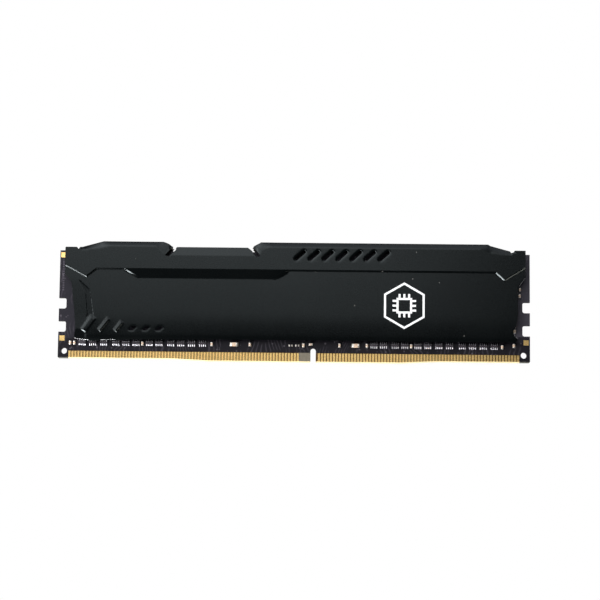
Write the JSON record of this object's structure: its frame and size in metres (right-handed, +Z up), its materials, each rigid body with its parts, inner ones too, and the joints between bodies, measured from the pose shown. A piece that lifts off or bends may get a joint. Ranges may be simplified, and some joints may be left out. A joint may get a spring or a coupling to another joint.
{
  "type": "memory module",
  "caption": "Desktop memory module: a circuit board with a gold edge connector and a key notch, clad in two folded black aluminium heat spreader shells.",
  "frame": {"origin": "the middle of the board's lowest edge, on the board's middle plane, where the edge connector enters the socket", "axes": "+X along the board's length, +Y through its thickness towards the rear shell (the front shell faces -Y), +Z up, away from the socket"},
  "size_m": [0.1334, 0.0072, 0.0338],
  "materials": {
    "black_aluminium": "satin black, fine powder texture",
    "solder_mask": "semi-gloss black solder mask over glass fibre",
    "gold": "gold plating, polished",
    "chip_epoxy": "matt moulded epoxy",
    "solder": "tinned, slightly dull",
    "resistor_ceramic": "glazed ceramic",
    "capacitor_ceramic": "fired ceramic",
    "thermal_tape": "matt grey tape",
    "thermal_pad": "soft matt silicone pad",
    "white_ink": "screen printed ink"
  },
  "bodies": {
    "root": {"circuit_board": "solder_mask", "front_contacts_long": "gold", "front_contacts_short": "gold", "rear_contacts_long": "gold", "rear_contacts_short": "gold", "corner_test_pads": "gold", "memory_chip_1": "chip_epoxy", "memory_chip_2": "chip_epoxy", "memory_chip_3": "chip_epoxy", "memory_chip_4": "chip_epoxy", "memory_chip_5": "chip_epoxy", "memory_chip_6": "chip_epoxy", "memory_chip_7": "chip_epoxy", "memory_chip_8": "chip_epoxy", "solder_balls": "solder", "configuration_chip": "chip_epoxy", "configuration_chip_leads": "solder", "resistor_array_bodies": "resistor_ceramic", "resistor_array_terminals": "solder", "chip_resistor_bodies": "resistor_ceramic", "chip_resistor_terminals": "solder", "small_capacitor_bodies": "capacitor_ceramic", "small_capacitor_terminals": "solder", "large_capacitor_bodies": "capacitor_ceramic", "large_capacitor_terminals": "solder", "decoupling_capacitor_bodies": "capacitor_ceramic", "decoupling_capacitor_terminals": "solder", "front_thermal_tape": "thermal_tape", "rear_thermal_pad": "thermal_pad", "front_heat_spreader": "black_aluminium", "rear_heat_spreader": "black_aluminium", "printed_emblem": "white_ink"}
  },
  "joints": []
}
